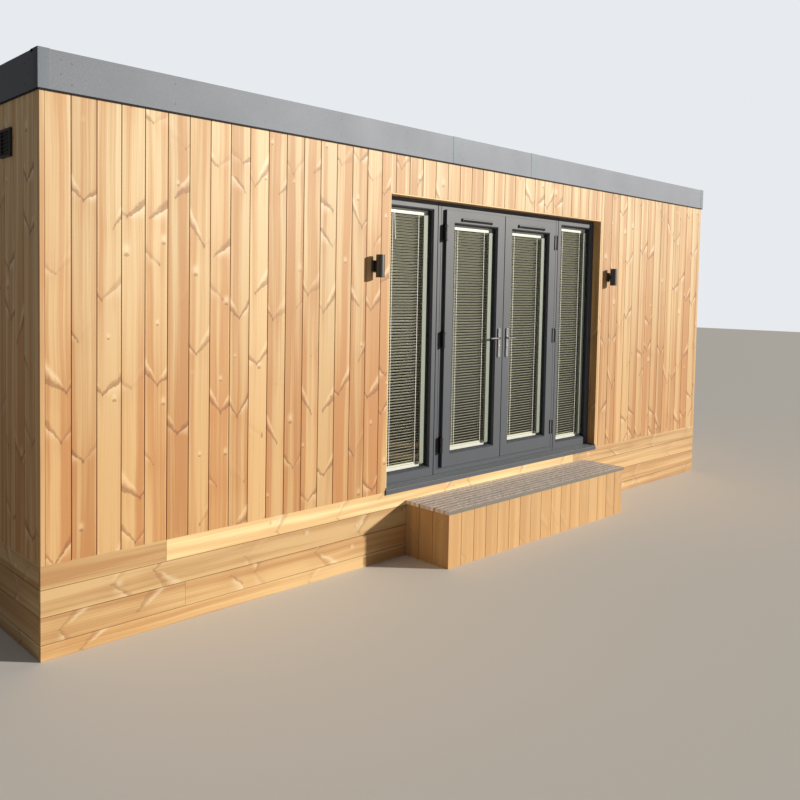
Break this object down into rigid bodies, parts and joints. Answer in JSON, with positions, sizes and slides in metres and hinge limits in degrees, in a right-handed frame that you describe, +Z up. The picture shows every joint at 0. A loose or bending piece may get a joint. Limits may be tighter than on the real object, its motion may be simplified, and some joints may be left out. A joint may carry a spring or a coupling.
{
  "type": "garden office pod",
  "caption": "Timber-clad flat-roofed garden office cabin with a pair of glazed doors between side lights, skirting down to the ground and a low decked step.",
  "frame": {"origin": "on the ground under the middle of the cabin's plan, at the underside of the central post of the middle bearer", "axes": "+X along the front towards the right end as seen from the front, +Y from the front to the back, +Z up"},
  "size_m": [7.126, 3.542, 3.085],
  "materials": {
    "treated_timber": "rough sawn, pressure treated",
    "panel": "plain sheathed panel",
    "cladding": "planed softwood boards, clear oiled",
    "skirting": "planed softwood boards, clear oiled",
    "membrane": "matte sheet",
    "fascia": "fine-textured powder coat",
    "lining": "planed softwood board, clear oiled",
    "door_frame": "satin powder coat",
    "hinge": "satin black",
    "glass": "clear sealed unit",
    "blind": "cream enamelled slats",
    "light": "satin grey",
    "vent": "matte",
    "decking": "grooved composite board",
    "handle": "polished"
  },
  "bodies": {
    "cabin": {"floor_bearers": "treated_timber", "floor_panel": "panel", "back_wall": "panel", "left_wall": "panel", "right_wall": "panel", "front_wall_left": "panel", "front_wall_right": "panel", "front_wall_head": "panel", "back_cladding": "cladding", "left_cladding": "cladding", "right_cladding": "cladding", "front_cladding_left": "cladding", "front_cladding_right": "cladding", "front_cladding_head": "cladding", "corner_strips": "cladding", "front_skirt": "skirting", "back_skirt": "skirting", "end_skirts": "skirting", "roof_panel": "panel", "roof_membrane": "membrane", "front_fascia": "fascia", "back_fascia": "fascia", "end_fascias": "fascia", "door_lining": "lining", "door_sill": "door_frame", "door_frame": "door_frame", "door_hinges": "hinge", "side_light_glass": "glass", "side_light_blinds": "blind", "wall_lights": "light", "side_vent": "vent", "step_frame": "treated_timber", "step_boards": "skirting", "step_deck": "decking"},
    "left_door": {"left_leaf": "door_frame", "left_glass": "glass", "left_blind": "blind", "left_vent": "door_frame", "left_handle": "handle"},
    "left_door_lever": {"left_lever": "handle"},
    "right_door": {"right_leaf": "door_frame", "right_glass": "glass", "right_blind": "blind", "right_vent": "door_frame", "right_handle": "handle"},
    "right_door_lever": {"right_lever": "handle"}
  },
  "joints": [
    {"name": "left_door_hinge", "type": "hinge", "parent": "cabin", "child": "left_door", "pos_m": [-0.516, -1.499, 1.555], "axis": [0, 0, -1], "range_deg": [0, 95]},
    {"name": "right_door_hinge", "type": "hinge", "parent": "cabin", "child": "right_door", "pos_m": [0.926, -1.499, 1.555], "axis": [0, 0, 1], "range_deg": [0, 95]},
    {"name": "left_lever_turn", "type": "hinge", "parent": "left_door", "child": "left_door_lever", "pos_m": [0.153, -1.46, 1.555], "axis": [0, -1, 0], "range_deg": [0, 40], "stiffness_Nm_per_rad": 1, "springref_deg": -34.38},
    {"name": "right_lever_turn", "type": "hinge", "parent": "right_door", "child": "right_door_lever", "pos_m": [0.257, -1.46, 1.555], "axis": [0, 1, 0], "range_deg": [0, 40], "stiffness_Nm_per_rad": 1, "springref_deg": -34.38}
  ]
}
